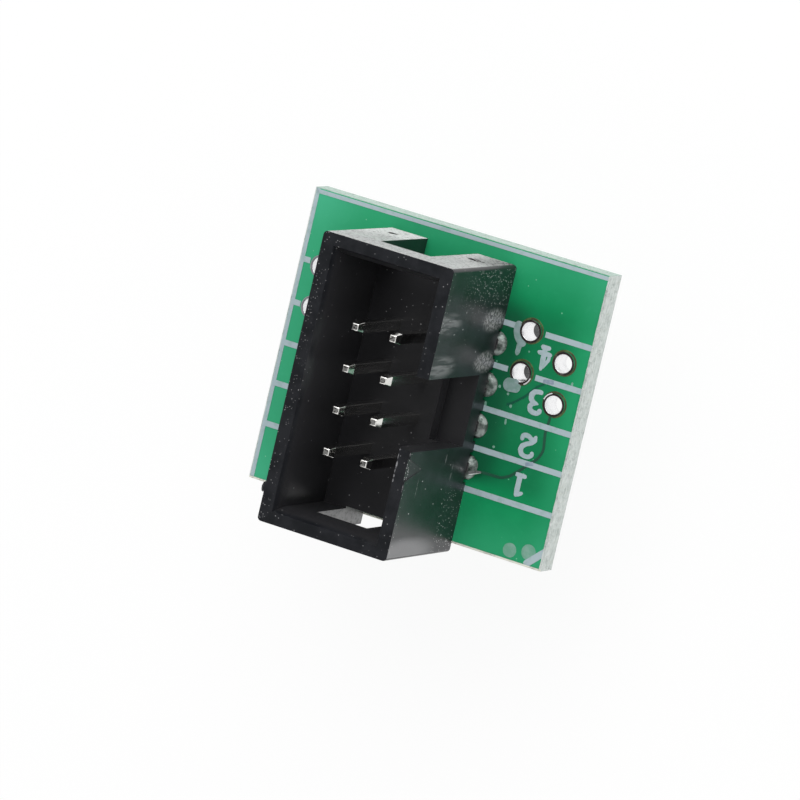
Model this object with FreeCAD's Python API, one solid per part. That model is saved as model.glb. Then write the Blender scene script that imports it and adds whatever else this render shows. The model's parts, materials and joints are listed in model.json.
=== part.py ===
import FreeCAD, Part
import math
import os

# Adapter board of an IC test clip kit, in millimetres, standing on its socket pins.
# +Z is up, out of the board's front face. +X is the key side of the box header, and +Y runs along
# its rows of pins. The origin is at the middle of the bounding box, at the tips of the socket pins.

# Grid that every pin and hole follows
pitch = 2.54
positions = 4
row_gap = 7.62

# Circuit board
board_length = 20.1
board_low = -8.775
board_high = 9.375
board_thickness = 1.6
mask_thickness = 0.04
mask_side_margin = 0.09
mask_low_margin = 0.13
mask_high_margin = 0.03

# Square pins, shared by the header and the strips
pin_side = 0.64
pin_tip_side = 0.34
pin_taper = 0.55

# Pin strips on the back face
strip_height = 2.5
strip_width = 2.5
strip_corner = 0.42
strip_pin_length = 6.0
strip_y = -0.265
trimmed_end = 0.36

# Box header
header_x = -0.36
header_y = -0.515
header_width = 8.77
header_length = 17.72
header_height = 8.45
header_corner = 0.25
cavity_width = 6.4
cavity_length = 15.46
cavity_floor = 2.55
mouth_width = 7.16
mouth_length = 16.26
lead_in = 0.9
channel_height = 0.4
channel_length = 1.9
header_tail = 1.25
tip_below_mouth = 0.53

# Key notch in the right wall
key_width = 4.4
key_floor = 1.65
key_reach = 2.55

# Slots through the end walls
slot_width = 3.4
slot_top = 6.3
slot_reach = 7.6

# Triangle that marks pin 1, sunk in the right wall below the notch
mark_y = -3.3
mark_width = 1.4
mark_height = 2.0
mark_depth = 0.1

# Drilled holes, plating and solder
pin_drill = 1.0
spare_bore = 1.1
plating = 0.05
mask_gap = 0.04
front_joint_radius = 0.8
front_joint_height = 0.33
back_joint_radius = 0.8
back_joint_height = 0.85
joint_neck_radius = 0.5
solder_sides = 16
spare_x_right = 5.85
spare_x_step = 2.54
spare_shift = -14.4
spare_y = 4.815

# Levels
strip_bottom = strip_pin_length
board_back = strip_bottom + strip_height
board_front = board_back + board_thickness
mouth = board_front + header_height
header_tip = mouth - tip_below_mouth
cut_margin = 1.0


def box(x0, x1, y0, y1, z0, z1):
    """Block between two corners."""
    return Part.makeBox(x1 - x0, y1 - y0, z1 - z0, FreeCAD.Vector(x0, y0, z0))


def centred_box(x, y, width, length, z0, z1):
    """Block of a width and length about a point."""
    return box(x - width / 2, x + width / 2, y - length / 2, y + length / 2, z0, z1)


def cylinder(x, y, diameter, z0, z1):
    """Upright cylinder between two levels."""
    return Part.makeCylinder(diameter / 2, z1 - z0, FreeCAD.Vector(x, y, z0))


def rectangle(x, y, width, length, z):
    """Corners of a level rectangle about a point."""
    corners = []
    for across, along in ((-1, -1), (1, -1), (1, 1), (-1, 1)):
        corners.append(FreeCAD.Vector(x + across * width / 2, y + along * length / 2, z))
    return corners


def polygon(x, y, radius, z):
    """Corners of a level regular polygon about a point, which stands for a circle of solder."""
    corners = []
    for step in range(solder_sides):
        turn = 2 * math.pi * step / solder_sides
        corners.append(FreeCAD.Vector(x + radius * math.cos(turn), y + radius * math.sin(turn), z))
    return corners


def stack(rings):
    """Flat-sided solid through level outlines that have the same number of corners, lowest first."""
    outlines = [rings[0], rings[-1]]
    for low, high in zip(rings, rings[1:]):
        for corner in range(len(low)):
            following = (corner + 1) % len(low)
            outlines.append([low[corner], low[following], high[following], high[corner]])
    faces = [Part.Face(Part.makePolygon(outline + outline[:1])) for outline in outlines]
    return Part.makeSolid(Part.makeShell(faces))


def extruded(outline, height):
    """Solid raised from a closed list of points."""
    wire = Part.makePolygon(outline + outline[:1])
    return Part.Face(wire).extrude(FreeCAD.Vector(0, 0, height))


def edges_along(shape, direction):
    """Straight edges of a shape that run along a direction."""
    found = []
    for edge in shape.Edges:
        if len(edge.Vertexes) != 2:
            continue
        run = edge.Vertexes[1].Point - edge.Vertexes[0].Point
        if run.Length > 0 and run.cross(direction).Length / run.Length < 1e-6:
            found.append(edge)
    return found


def row_offsets():
    """Places of the four pins of a row, about its middle."""
    first = -(positions - 1) / 2
    return [(first + step) * pitch for step in range(positions)]


def header_pin_places():
    """Middles of the contact pins, numbered across the rows from the marked corner."""
    places = []
    for offset in row_offsets():
        places.append((header_x + pitch / 2, header_y + offset))
        places.append((header_x - pitch / 2, header_y + offset))
    return places


def board_pin_places():
    """Middles of the socket pins, numbered round the two rows as on a chip."""
    right = [(row_gap / 2, strip_y + offset) for offset in row_offsets()]
    left = [(-row_gap / 2, strip_y + offset) for offset in reversed(row_offsets())]
    return right + left


def spare_hole_places():
    """Middles of the spare holes: two staggered pairs of columns, one pair at each side."""
    places = []
    for shift in (0.0, spare_shift):
        for step in range(4):
            x = spare_x_right + spare_x_step * (step % 2) + shift
            places.append((x, spare_y - step * pitch / 2))
    return places


def square_pin(x, y, z0, z1, tapered_top):
    """Square pin with a tapered tip at its bottom, and at its top where asked."""
    rings = [
        rectangle(x, y, pin_tip_side, pin_tip_side, z0),
        rectangle(x, y, pin_side, pin_side, z0 + pin_taper),
    ]
    if tapered_top:
        rings.append(rectangle(x, y, pin_side, pin_side, z1 - pin_taper))
        rings.append(rectangle(x, y, pin_tip_side, pin_tip_side, z1))
    else:
        rings.append(rectangle(x, y, pin_side, pin_side, z1))
    return stack(rings)


def pin_hole(x, y, z0, z1):
    """Square cut that a pin fills."""
    return centred_box(x, y, pin_side, pin_side, z0, z1)


def laminate():
    """Bare board between the two lacquer films, drilled for every pin and spare hole."""
    low = board_back + mask_thickness
    high = board_front - mask_thickness
    board = box(-board_length / 2, board_length / 2, board_low, board_high, low, high)
    drills = []
    for x, y in header_pin_places() + board_pin_places():
        drills.append(cylinder(x, y, pin_drill, low - cut_margin, high + cut_margin))
    for x, y in spare_hole_places():
        drill = spare_bore + 2 * plating
        drills.append(cylinder(x, y, drill, low - cut_margin, high + cut_margin))
    return board.cut(drills)


def mask(low, jointed, plain):
    """Lacquer film from a level up, open to the solder on its own side, round the other pins and holes."""
    side = board_length / 2 - mask_side_margin
    film = box(-side, side, board_low + mask_low_margin, board_high - mask_high_margin, low, low + mask_thickness)
    openings = []
    for x, y in jointed:
        rings = [polygon(x, y, pin_drill / 2, z) for z in (low - cut_margin, low + cut_margin)]
        openings.append(stack(rings))
    for x, y in plain:
        openings.append(pin_hole(x, y, low - cut_margin, low + cut_margin))
    for x, y in spare_hole_places():
        opening = spare_bore + 2 * plating + 2 * mask_gap
        openings.append(cylinder(x, y, opening, low - cut_margin, low + cut_margin))
    return film.cut(openings)


def spare_hole(x, y):
    """Plated barrel of a spare hole."""
    barrel = cylinder(x, y, spare_bore + 2 * plating, board_back, board_front)
    return barrel.cut(cylinder(x, y, spare_bore, board_back - cut_margin, board_front + cut_margin))


def solder_joint(x, y, face, foot, height, side):
    """Solder that fills a pin's drilled hole and rises round the pin from one face of the board.

    side is 1 where it rises from the front face, and -1 where it hangs from the back face.
    """
    far = face - side * (board_thickness - mask_thickness)
    rings = [
        polygon(x, y, pin_drill / 2, far),
        polygon(x, y, pin_drill / 2, face),
        polygon(x, y, foot, face),
        polygon(x, y, joint_neck_radius, face + side * height),
    ]
    if side < 0:
        rings.reverse()
    low = min(far, face + side * height) - cut_margin
    high = max(far, face + side * height) + cut_margin
    return stack(rings).cut(pin_hole(x, y, low, high))


def pin_strip(x):
    """Insulator of a four-way strip, waisted between its positions where it is made to snap."""
    half = strip_width / 2
    waist = half - strip_corner
    outline = []
    for offset in row_offsets():
        outline.append((waist, offset - pitch / 2))
        outline.append((half, offset - pitch / 2 + strip_corner))
        outline.append((half, offset + pitch / 2 - strip_corner))
    outline.append((waist, positions * pitch / 2))
    for offset in reversed(row_offsets()):
        outline.append((-waist, offset + pitch / 2))
        outline.append((-half, offset + pitch / 2 - strip_corner))
        outline.append((-half, offset - pitch / 2 + strip_corner))
    outline.append((-waist, -positions * pitch / 2))
    points = [FreeCAD.Vector(x + px, strip_y + py, strip_bottom) for px, py in outline]
    body = extruded(points, strip_height)
    for offset in row_offsets():
        hole = pin_hole(x, strip_y + offset, strip_bottom - cut_margin, board_back + cut_margin)
        body = body.cut(hole)
    return body


def header_body():
    """Outer block of the box header, with rounded upright corners and channels over the solder joints."""
    block = centred_box(header_x, header_y, header_width, header_length, board_front, mouth)
    block = block.makeFillet(header_corner, edges_along(block, FreeCAD.Vector(0, 0, 1)))
    channels = []
    for offset in row_offsets():
        across = header_width + 2 * cut_margin
        low = board_front - cut_margin
        high = board_front + channel_height
        channels.append(centred_box(header_x, strip_y + offset, across, channel_length, low, high))
    return block.cut(channels)


def header_cavity():
    """Space that the cable's plug fills, widened at the mouth by a lead-in."""
    return stack([
        rectangle(header_x, header_y, cavity_width, cavity_length, board_front + cavity_floor),
        rectangle(header_x, header_y, cavity_width, cavity_length, mouth - lead_in),
        rectangle(header_x, header_y, mouth_width, mouth_length, mouth),
        rectangle(header_x, header_y, mouth_width, mouth_length, mouth + cut_margin),
    ])


def key_notch():
    """Notch that takes the plug's key, cut down past the cavity's floor."""
    x0 = header_x + key_reach
    x1 = header_x + header_width / 2 + cut_margin
    y0 = header_y - key_width / 2
    y1 = header_y + key_width / 2
    return box(x0, x1, y0, y1, board_front + key_floor, mouth + cut_margin)


def end_slot(side):
    """Slot through an end wall, open at the board and closed by a bar at the mouth."""
    inner = header_y + side * slot_reach
    outer = header_y + side * (header_length / 2 + cut_margin)
    x0 = header_x - slot_width / 2
    x1 = header_x + slot_width / 2
    low = board_front - cut_margin
    high = board_front + slot_top
    return box(x0, x1, min(inner, outer), max(inner, outer), low, high)


def pin_one_mark():
    """Triangular recess at the rim, deepest at the mouth and running out at its point."""
    wall = header_x + header_width / 2
    middle = header_y + mark_y
    left = FreeCAD.Vector(wall, middle - mark_width / 2, mouth)
    right = FreeCAD.Vector(wall, middle + mark_width / 2, mouth)
    point = FreeCAD.Vector(wall, middle, mouth - mark_height)
    sunk_left = left - FreeCAD.Vector(mark_depth, 0, 0)
    sunk_right = right - FreeCAD.Vector(mark_depth, 0, 0)
    faces = [
        Part.Face(Part.makePolygon([left, right, point, left])),
        Part.Face(Part.makePolygon([sunk_left, sunk_right, point, sunk_left])),
        Part.Face(Part.makePolygon([left, right, sunk_right, sunk_left, left])),
        Part.Face(Part.makePolygon([left, sunk_left, point, left])),
        Part.Face(Part.makePolygon([right, sunk_right, point, right])),
    ]
    return Part.makeSolid(Part.makeShell(faces))


def header_housing():
    """Moulded shroud of the box header."""
    cuts = [header_cavity(), key_notch(), end_slot(-1), end_slot(1), pin_one_mark()]
    for x, y in header_pin_places():
        cuts.append(pin_hole(x, y, board_front - cut_margin, mouth + cut_margin))
    return header_body().cut(cuts).removeSplitter()


def all_nodes():
    """Every piece by name."""
    nodes = {
        "circuit_board": laminate(),
        "solder_mask_front": mask(board_front - mask_thickness, board_pin_places(), header_pin_places()),
        "solder_mask_back": mask(board_back, header_pin_places(), board_pin_places()),
        "header_housing": header_housing(),
        "pin_strip_left": pin_strip(-row_gap / 2),
        "pin_strip_right": pin_strip(row_gap / 2),
    }
    for number, (x, y) in enumerate(header_pin_places(), 1):
        nodes["header_pin_%d" % number] = square_pin(x, y, board_back - header_tail, header_tip, True)
        nodes["header_joint_%d" % number] = solder_joint(
            x, y, board_back, back_joint_radius, back_joint_height, -1)
    for number, (x, y) in enumerate(board_pin_places(), 1):
        nodes["board_pin_%d" % number] = square_pin(x, y, 0.0, board_front + trimmed_end, False)
        nodes["board_joint_%d" % number] = solder_joint(
            x, y, board_front, front_joint_radius, front_joint_height, 1)
    for number, (x, y) in enumerate(spare_hole_places(), 1):
        nodes["spare_hole_%d" % number] = spare_hole(x, y)
    return nodes


def main():
    os.makedirs("parts", exist_ok=True)
    for name, shape in all_nodes().items():
        if not shape.isValid() or len(shape.Solids) != 1:
            raise RuntimeError("%s has %d solids, valid %s" % (name, len(shape.Solids), shape.isValid()))
        shape.exportStep("parts/%s.step" % name)
        size = shape.BoundBox
        print("%-18s %6.2f %6.2f %6.2f to %6.2f %6.2f %6.2f, volume %.3f" % (
            name, size.XMin, size.YMin, size.ZMin, size.XMax, size.YMax, size.ZMax, shape.Volume))


main()
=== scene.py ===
import bpy
import bmesh
import json
import math
from mathutils import Matrix, Vector, noise


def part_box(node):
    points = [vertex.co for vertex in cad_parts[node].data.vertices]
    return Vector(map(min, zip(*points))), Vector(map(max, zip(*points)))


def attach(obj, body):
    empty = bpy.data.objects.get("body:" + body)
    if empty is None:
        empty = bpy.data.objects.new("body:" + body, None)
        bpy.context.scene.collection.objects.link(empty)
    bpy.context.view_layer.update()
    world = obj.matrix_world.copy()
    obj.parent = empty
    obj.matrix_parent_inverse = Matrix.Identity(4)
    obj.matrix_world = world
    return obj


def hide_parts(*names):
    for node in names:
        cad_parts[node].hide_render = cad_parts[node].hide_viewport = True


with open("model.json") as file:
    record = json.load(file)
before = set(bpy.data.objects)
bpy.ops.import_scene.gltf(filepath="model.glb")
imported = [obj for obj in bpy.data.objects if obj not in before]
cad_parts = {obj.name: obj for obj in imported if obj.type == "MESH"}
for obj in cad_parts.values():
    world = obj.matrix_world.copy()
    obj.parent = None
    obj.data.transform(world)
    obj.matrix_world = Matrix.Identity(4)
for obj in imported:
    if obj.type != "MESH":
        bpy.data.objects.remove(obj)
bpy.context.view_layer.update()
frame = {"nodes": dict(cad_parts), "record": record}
mm = 0.001
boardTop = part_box("solder_mask_front")[1][2]
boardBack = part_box("solder_mask_back")[0][2]
boardLow, boardHigh = (Vector(corner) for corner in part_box("circuit_board"))
maskLow, maskHigh = (Vector(corner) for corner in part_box("solder_mask_front"))
shroudLow, shroudHigh = (Vector(corner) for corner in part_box("header_housing"))
shroudMiddle = (shroudLow + shroudHigh) / 2


def nodeMiddle(node):
    low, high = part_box(node)
    return (Vector(low) + Vector(high)) / 2


def addNode(tree, kind, settings=None, values=None):
    made = tree.nodes.new(kind)
    for key, value in (settings or {}).items():
        setattr(made, key, value)
    for key, value in (values or {}).items():
        if isinstance(value, bpy.types.NodeSocket):
            tree.links.new(value, made.inputs[key])
        else:
            made.inputs[key].default_value = value
    return made


def addObject(name, data):
    made = bpy.data.objects.new(name, data)
    bpy.context.scene.collection.objects.link(made)
    return made


# Node helpers: an expression on values adds its Math nodes

class Value:
    def __init__(self, builder, socket):
        self.builder = builder
        self.socket = socket

    def math(self, operation, *others):
        return self.builder.node("ShaderNodeMath", {"operation": operation}, [self, *others])

    def __add__(self, other):
        return self.math("ADD", other)

    def __sub__(self, other):
        return self.math("SUBTRACT", other)

    def __rsub__(self, other):
        return self.builder.node("ShaderNodeMath", {"operation": "SUBTRACT"}, [other, self])

    def __mul__(self, other):
        return self.math("MULTIPLY", other)

    __radd__ = __add__
    __rmul__ = __mul__

    def sibling(self, name):
        # Another output of the same node
        return Value(self.builder, self.socket.node.outputs[name])


class Builder:
    # Adds nodes to one tree and hands back their outputs as values
    def __init__(self, tree):
        self.tree = tree

    def node(self, kind, settings=None, values=None, output=0):
        pairs = values if isinstance(values, dict) else dict(enumerate(values or []))
        pairs = {key: value.socket if isinstance(value, Value) else value for key, value in pairs.items()}
        return Value(self, addNode(self.tree, kind, settings, pairs).outputs[output])


# A soft oval fades out between these two squared distances from its middle, in reaches
ovalEdge = (1.25, 0.15)


class Finish(Builder):
    # One material. Plain numbers go on the shader's own sockets, and links only where a value varies.
    def __init__(self, name, colour, **sockets):
        self.material = bpy.data.materials.new(name)
        self.material.use_nodes = True
        super().__init__(self.material.node_tree)
        self.shader = self.tree.nodes["Principled BSDF"]
        self.shader.inputs["Base Color"].default_value = (*colour, 1.0)
        for key, value in sockets.items():
            self.shader.inputs[key.replace("_", " ")].default_value = value

    def place(self):
        return self.node("ShaderNodeTexCoord", output="Object")

    def axis(self, name):
        return self.node("ShaderNodeSeparateXYZ", values=[self.place()], output=name)

    def noise(self, scale, detail=3.0, roughness=0.5, stretch=None):
        # A stretch is the scale along each axis
        vector = self.place()
        if stretch:
            vector = self.node("ShaderNodeMapping", {"vector_type": "POINT"},
                               {"Vector": vector, "Scale": stretch})
        values = {"Vector": vector, "Scale": scale, "Detail": detail, "Roughness": roughness}
        return self.node("ShaderNodeTexNoise", values=values)

    def step(self, value, low, high):
        settings = {"interpolation_type": "SMOOTHSTEP"}
        return self.node("ShaderNodeMapRange", settings, [value, low, high])

    def specks(self, spacing, radius, share):
        # Scattered dots, sized in millimetres: a share of the cells of a grid holds a dot each
        values = {"Vector": self.place(), "Scale": 1 / (spacing * mm)}
        cells = self.node("ShaderNodeTexVoronoi", None, values, "Distance")
        chance = self.node("ShaderNodeSeparateColor", values=[cells.sibling("Color")], output=0)
        size = radius / spacing
        return self.step(cells, size, size * 0.6) * self.step(chance, 1 - share, 1.001 - share)

    def dust(self, layers):
        # Several sorts of specks together. The last number or value of each sort says where it lies.
        total = 0.0
        for *size, where in layers:
            total = self.specks(*size) * where + total
        return total

    def ovals(self, first, second, places):
        # Soft ovals on the plane of two axes, each given by its middle and its reach in millimetres
        total = 0.0
        for place in places:
            firstMiddle, secondMiddle, firstReach, secondReach = (number * mm for number in place)
            across = (first - firstMiddle) * (1 / firstReach)
            along = (second - secondMiddle) * (1 / secondReach)
            total = self.step(across * across + along * along, *ovalEdge) + total
        return total

    def mix(self, factor, first, second):
        made = self.node("ShaderNodeMix", {"data_type": "RGBA", "blend_type": "MIX"}, {0: factor}, output=2)
        for index, value in ((6, first), (7, second)):
            if isinstance(value, Value):
                self.tree.links.new(value.socket, made.socket.node.inputs[index])
            else:
                made.socket.node.inputs[index].default_value = (*value, 1.0)
        return made

    def bump(self, height, distance, strength=1.0):
        values = {"Strength": strength, "Distance": distance, "Height": height}
        return self.node("ShaderNodeBump", None, values, "Normal")

    def blend(self, share, other):
        # A share of another shader over the main one
        main = Value(self, self.shader.outputs[0])
        mixed = self.node("ShaderNodeMixShader", None, [share, main, other])
        self.tree.links.new(mixed.socket, self.tree.nodes["Material Output"].inputs["Surface"])

    def feed(self, **links):
        for key, value in links.items():
            self.tree.links.new(value.socket, self.shader.inputs[key.replace("_", " ")])
        return self.material


def makeMask():
    look = {"green": (0.007, 0.300, 0.110), "deep": (0.005, 0.255, 0.092), "pale": (0.060, 0.440, 0.245),
            "speck": (0.16, 0.50, 0.30), "padsAndShade": (0.004, 0.022, 0.016)}
    # Painted light: the lacquer is painted paler towards each edge of the board, most towards the left
    paintedLights = {"left": (4.5, 0.62), "right": (2.0, 0.18), "top": (3.5, 0.34), "low": (3.5, 0.27)}
    shade = {"rowStart": (-5.3, -4.0), "rowEnd": (7.0, 5.2), "wide": (9.8, 8.0, 0.30),
             "close": (6.4, 4.7, 0.36)}
    finish = Finish("greenMask", look["green"], IOR=1.5, Specular_IOR_Level=0.3)
    cloud = finish.noise(240.0, 4.0, 0.6)
    fine = finish.noise(2600.0, 2.0, 0.5)
    across = finish.axis("X")
    along = finish.axis("Y")
    edges = {"left": (across, boardLow.x, 1), "right": (across, boardHigh.x, -1),
             "top": (along, boardHigh.y, -1), "low": (along, boardLow.y, 1)}
    # Painted light, added up over the four edges
    paintedLightAndScratch = 0.0
    for side, (axis, edge, inward) in edges.items():
        reach, weight = paintedLights[side]
        paintedLightAndScratch = finish.step(axis, edge + inward * reach * mm, edge) * weight + paintedLightAndScratch
    tone = finish.mix(finish.step(cloud, 0.35, 0.7), look["deep"], look["green"])
    tone = finish.mix(paintedLightAndScratch + finish.step(fine, 0.55, 0.8) * 0.06, tone, look["pale"])
    # Painted shade beside the housing's wall on the board's right half, partly the copper pads under the
    # lacquer round the joints
    rowStart, rowEnd = ([place * mm for place in shade[key]] for key in ("rowStart", "rowEnd"))
    rows = finish.step(along, *rowStart) * finish.step(along, *rowEnd)
    rightHalf = finish.step(across, -2.0 * mm, 2.0 * mm)
    padsAndShade = 0.0
    for outer, inner, weight in (shade["wide"], shade["close"]):
        padsAndShade = finish.step(across, outer * mm, inner * mm) * weight + padsAndShade
    tone = finish.mix(padsAndShade * rows * rightHalf, tone, look["padsAndShade"])
    tone = finish.mix(finish.specks(0.42, 0.055, 0.10), tone, look["speck"])
    normal = finish.bump(fine * 0.3 + cloud, 0.012 * mm, 0.6)
    return finish.feed(Base_Color=tone, Roughness=cloud * 0.14 + 0.26, Normal=normal)


def makeLaminate():
    look = {"pale": (0.60, 0.64, 0.62), "warm": (0.50, 0.52, 0.45), "deep": (0.38, 0.44, 0.41),
            "shade": (0.39, 0.49, 0.44), "cream": (0.80, 0.80, 0.70)}
    finish = Finish("glassLaminate", look["pale"], IOR=1.5, Specular_IOR_Level=0.3)
    plies = finish.noise(1.0, 4.0, 0.65, (1500.0, 1500.0, 5200.0))
    fibres = finish.noise(1.0, 5.0, 0.7, (5200.0, 5200.0, 1400.0))
    tone = finish.mix(finish.step(plies, 0.20, 0.62), look["deep"], look["pale"])
    tone = finish.mix(finish.step(fibres, 0.52, 0.75) * 0.5, tone, look["warm"])
    farSide = finish.step(finish.axis("Y"), boardHigh.y - 0.03 * mm, boardHigh.y - 0.005 * mm)
    tone = finish.mix(farSide, tone, look["shade"])
    topFace = finish.step(finish.axis("Z"), boardTop - 0.12 * mm, boardTop - 0.06 * mm)
    nearMargin = finish.step(finish.axis("Y"), maskLow.y, maskLow.y - 0.03 * mm) * topFace
    tone = finish.mix(nearMargin * 0.9, tone, look["cream"])
    crumbs = finish.step(finish.noise(1900.0, 4.0, 0.7), 0.50, 0.70)
    tone = finish.mix(crumbs * 0.32, tone, look["deep"])
    normal = finish.bump(fibres + plies - crumbs, 0.06 * mm)
    return finish.feed(Base_Color=tone, Roughness=fibres * 0.25 + 0.6, Normal=normal)


def makeShroudEnd():
    # The two end walls are matt and pitted, and pale where light grazes them
    look = {"black": (0.020, 0.020, 0.021), "grain": (0.005, 0.005, 0.005), "pitAndShade": (0.014, 0.014, 0.015)}
    dents = ((-3.40, 12.20, 0.38, 0.34), (2.60, 12.80, 0.62, 0.40))
    finish = Finish("shroudEnd", look["black"], IOR=1.5, Coat_Weight=1.0, Coat_IOR=1.5, Coat_Roughness=0.34,
                    Sheen_Weight=1.0, Sheen_Roughness=0.30)
    grain = finish.noise(1.0, 3.0, 0.6, (2600.0, 2600.0, 700.0))
    tone = finish.mix(finish.step(grain, 0.55, 0.75), look["black"], look["grain"])
    across = finish.axis("X")
    height = finish.axis("Z")
    farEnd = finish.step(finish.axis("Y"), -1.0 * mm, 1.0 * mm)
    sunk = finish.ovals(across, height, dents)
    dented = sunk * finish.step(finish.noise(3800.0, 2.0), 0.36, 0.50) * farEnd
    rough = grain * 0.2 + 0.3 + dented * 0.4
    normal = finish.bump(grain * 0.3 - dented, 0.03 * mm, 0.6)
    finish.feed(Base_Color=tone, Roughness=rough, Coat_Weight=1.0 - dented, Normal=normal)
    # A dark matt shader shows in the pits, flecks and dents, and as painted shade
    pits = finish.step(finish.noise(5200.0, 3.0, 0.7), 0.44, 0.70) * 0.40
    flecks = finish.specks(0.24, 0.05, 0.30) * 0.45
    nearBoard = finish.step(height, boardTop + 6.0 * mm, boardTop + 1.5 * mm)
    # Painted shade: the wall is darker towards the board and towards +X
    paintedShade = finish.step(across, 0.4 * mm, 3.6 * mm) * nearBoard
    marksAndPaintedLight = pits + flecks + dented * 0.95 + paintedShade * 0.58
    finish.blend(marksAndPaintedLight, finish.node("ShaderNodeBsdfDiffuse", None, {"Color": (*look["pitAndShade"], 1.0)}))
    return finish.material


def makeShroudPlastic():
    look = {"inner": (0.020, 0.020, 0.022), "rim": (0.006, 0.007, 0.009), "dull": (0.013, 0.014, 0.017),
            "dust": (0.26, 0.26, 0.265), "bruise": (0.24, 0.24, 0.25)}
    bruises = ((3.26, -2.70, 0.034, 0.10), (3.25, -3.14, 0.030, 0.18), (3.27, -3.66, 0.060, 0.24),
               (3.25, -4.05, 0.032, 0.14), (3.26, -4.32, 0.050, 0.12), (3.26, -4.61, 0.050, 0.11),
               (3.98, -2.86, 0.040, 0.15), (3.98, -4.24, 0.056, 0.14), (3.98, -4.90, 0.030, 0.26),
               (3.38, 1.65, 0.120, 0.045))
    finish = Finish("shroudPlastic", look["inner"], IOR=1.38)
    flow = finish.noise(1.0, 3.0, 0.6, (900.0, 250.0, 420.0))
    grain = finish.noise(4200.0, 3.0, 0.6)
    lumps = finish.noise(900.0, 3.0, 0.6)
    height = finish.axis("Z")
    rim = finish.step(height, shroudHigh.z - 0.50 * mm, shroudHigh.z - 0.10 * mm)
    patches = finish.step(finish.noise(330.0, 2.0), 0.44, 0.62)
    leftRim = finish.step(finish.axis("X"), shroudLow.x + 0.75 * mm, shroudLow.x + 0.35 * mm) * rim
    specks = finish.dust(((0.20, 0.040, 0.16, patches), (0.50, 0.060, 0.07, 1.0), (0.17, 0.034, 0.12, rim),
                          (0.13, 0.034, 0.40, leftRim)))
    edge = finish.mix(finish.step(lumps, 0.35, 0.65), look["rim"], look["dull"])
    tone = finish.mix(rim, look["inner"], edge)
    tone = finish.mix(specks, tone, look["dust"])
    ragged = finish.step(finish.noise(4600.0, 3.0, 0.7), 0.42, 0.56) * 0.80 + 0.20
    torn = finish.ovals(finish.axis("X"), finish.axis("Y"), bruises) * ragged
    topEdge = finish.step(height, shroudHigh.z - 0.14 * mm, shroudHigh.z - 0.05 * mm)
    tone = finish.mix(torn * topEdge, tone, look["bruise"])
    rough = flow * 0.16 + 0.24
    normal = finish.bump(grain * 0.25 + lumps * 0.5 + flow, 0.012 * mm, 0.7)
    return finish.feed(Base_Color=tone, Roughness=rough, Normal=normal)


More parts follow.
